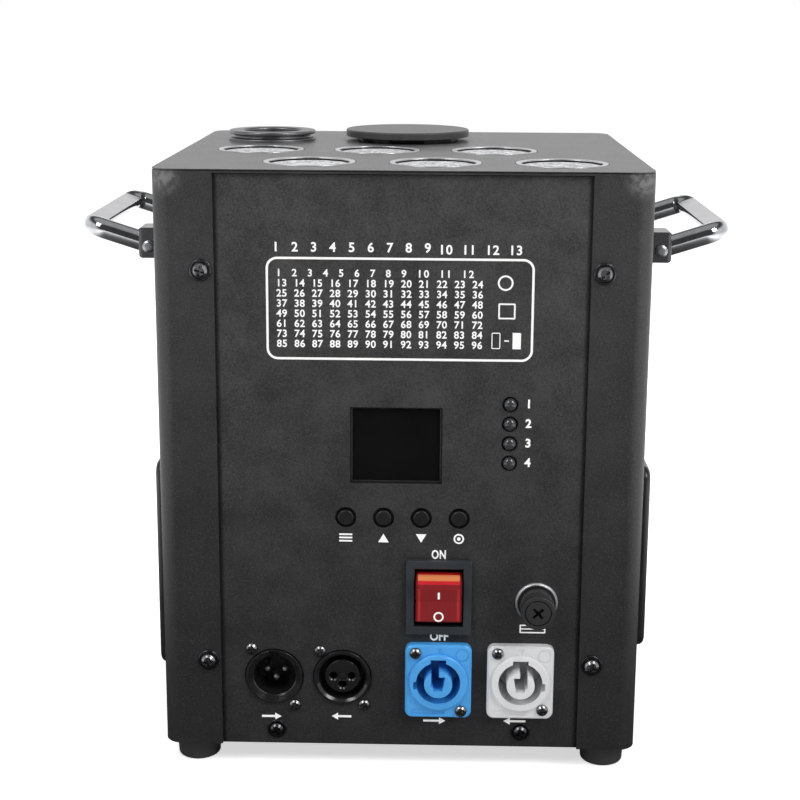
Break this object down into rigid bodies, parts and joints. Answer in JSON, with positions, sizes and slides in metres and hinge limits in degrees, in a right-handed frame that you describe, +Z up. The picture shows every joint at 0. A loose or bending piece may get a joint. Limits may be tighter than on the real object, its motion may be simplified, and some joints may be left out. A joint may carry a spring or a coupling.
{
  "type": "cold spark machine",
  "caption": "Stage effect machine in a sheet-metal case: powder hopper, heated spark outlet, top lamps, rear control panel, side fans and folding handles.",
  "frame": {"origin": "under the middle of the machine's overall box, on the plane that its feet stand on", "axes": "+X to the right and +Y away from someone who faces the control panel, +Z up"},
  "size_m": [0.263, 0.1956, 0.25],
  "materials": {
    "charcoal_coat": "fine textured powder coat, satin",
    "black_coat": "matt black powder coat",
    "galvanised_sheet": "bare zinc-coated sheet",
    "steel": "machined",
    "dark_nickel": "black nickel plate",
    "heated_steel": "heat-tinted stainless steel",
    "copper_winding": "enamelled copper wire on its carrier",
    "chrome": "polished, with a brushed flat on the grip",
    "rubber": "matt",
    "black_plastic": "moulded, fine satin",
    "slate_plastic": "moulded, satin",
    "blue_plastic": "moulded nylon, satin gloss",
    "grey_plastic": "moulded nylon, satin gloss",
    "red_plastic": "translucent, ribbed",
    "smoked_lens": "smoked clear",
    "display_glass": "dark, glossy",
    "fuse_glass": "clear",
    "silver_lamp": "bright reflector behind a clear lens",
    "circuit_board": "solder mask"
  },
  "bodies": {
    "chassis": {"outer_casing": "charcoal_coat", "rear_panel": "charcoal_coat", "front_panel": "charcoal_coat", "base_plate": "galvanised_sheet", "powder_hopper": "galvanised_sheet", "feed_motor": "steel", "spark_outlet": "dark_nickel", "heating_tube": "heated_steel", "heater_coil": "copper_winding", "blower_housing": "black_plastic", "control_board": "circuit_board", "display_module": "display_glass", "indicator_lights": "smoked_lens", "switch_frame": "slate_plastic", "fuse_holder": "black_plastic", "control_socket_in": "black_plastic", "control_socket_out": "black_plastic", "mains_socket_in": "blue_plastic", "mains_socket_out": "grey_plastic", "power_supply": "galvanised_sheet", "left_fan_guard": "black_plastic", "left_fan_frame": "black_plastic", "left_rear_handle_post": "dark_nickel", "left_rear_handle_pin": "steel", "left_front_handle_post": "dark_nickel", "left_front_handle_pin": "steel", "right_fan_guard": "black_plastic", "right_fan_frame": "black_plastic", "right_rear_handle_post": "dark_nickel", "right_rear_handle_pin": "steel", "right_front_handle_post": "dark_nickel", "right_front_handle_pin": "steel", "rear_left_foot": "rubber", "rear_right_foot": "rubber", "front_left_foot": "rubber", "front_right_foot": "rubber", "lamp_1": "silver_lamp", "lamp_2": "silver_lamp", "lamp_3": "silver_lamp", "lamp_4": "silver_lamp", "lamp_5": "silver_lamp", "lamp_6": "silver_lamp", "panel_screw_1": "dark_nickel", "panel_screw_2": "dark_nickel", "panel_screw_3": "dark_nickel", "panel_screw_4": "dark_nickel"},
    "left_handle": {"left_handle": "chrome"},
    "right_handle": {"right_handle": "chrome"},
    "hopper_cap": {"hopper_cap": "black_coat"},
    "left_fan_rotor": {"left_fan_rotor": "black_plastic"},
    "right_fan_rotor": {"right_fan_rotor": "black_plastic"},
    "blower_impeller": {"blower_impeller": "black_plastic"},
    "feed_auger": {"feed_auger": "steel"},
    "menu_button": {"menu_button": "black_plastic"},
    "up_button": {"up_button": "black_plastic"},
    "down_button": {"down_button": "black_plastic"},
    "enter_button": {"enter_button": "black_plastic"},
    "rocker": {"rocker": "red_plastic"},
    "fuse_carrier": {"fuse_cap": "black_plastic", "fuse": "fuse_glass"}
  },
  "joints": [
    {"name": "left_handle_hinge", "type": "hinge", "parent": "chassis", "child": "left_handle", "pos_m": [-0.10325, 0.0053, 0.2097], "axis": [0, 1, 0], "range_deg": [-106, 0]},
    {"name": "right_handle_hinge", "type": "hinge", "parent": "chassis", "child": "right_handle", "pos_m": [0.10325, 0.0053, 0.2097], "axis": [0, 1, 0], "range_deg": [0, 106]},
    {"name": "hopper_cap_lift", "type": "slide", "parent": "chassis", "child": "hopper_cap", "axis": [0, 0, 1], "range_m": [0, 0.06]},
    {"name": "left_fan_spin", "type": "hinge", "parent": "chassis", "child": "left_fan_rotor", "pos_m": [-0.08, 0.0053, 0.0692], "axis": [1, 0, 0], "continuous": true},
    {"name": "right_fan_spin", "type": "hinge", "parent": "chassis", "child": "right_fan_rotor", "pos_m": [0.08, 0.0053, 0.0725], "axis": [1, 0, 0], "continuous": true},
    {"name": "blower_spin", "type": "hinge", "parent": "chassis", "child": "blower_impeller", "pos_m": [-0.03599, -0.0107, 0.1703], "axis": [0, 0, 1], "continuous": true},
    {"name": "auger_spin", "type": "hinge", "parent": "chassis", "child": "feed_auger", "pos_m": [-0.0008, 0.04979, 0.1708], "axis": [1, 0, 0], "continuous": true},
    {"name": "menu_button_press", "type": "slide", "parent": "chassis", "child": "menu_button", "axis": [0, 1, 0], "range_m": [0, 0.0006], "stiffness_N_per_m": 2500},
    {"name": "up_button_press", "type": "slide", "parent": "chassis", "child": "up_button", "axis": [0, 1, 0], "range_m": [0, 0.0006], "stiffness_N_per_m": 2500},
    {"name": "down_button_press", "type": "slide", "parent": "chassis", "child": "down_button", "axis": [0, 1, 0], "range_m": [0, 0.0006], "stiffness_N_per_m": 2500},
    {"name": "enter_button_press", "type": "slide", "parent": "chassis", "child": "enter_button", "axis": [0, 1, 0], "range_m": [0, 0.0006], "stiffness_N_per_m": 2500},
    {"name": "rocker_tilt", "type": "hinge", "parent": "chassis", "child": "rocker", "pos_m": [0.0158, -0.0828, 0.07339], "axis": [1, 0, 0], "range_deg": [-18, 0]},
    {"name": "fuse_carrier_pull", "type": "slide", "parent": "chassis", "child": "fuse_carrier", "axis": [0, -1, 0], "range_m": [0, 0.035]}
  ]
}
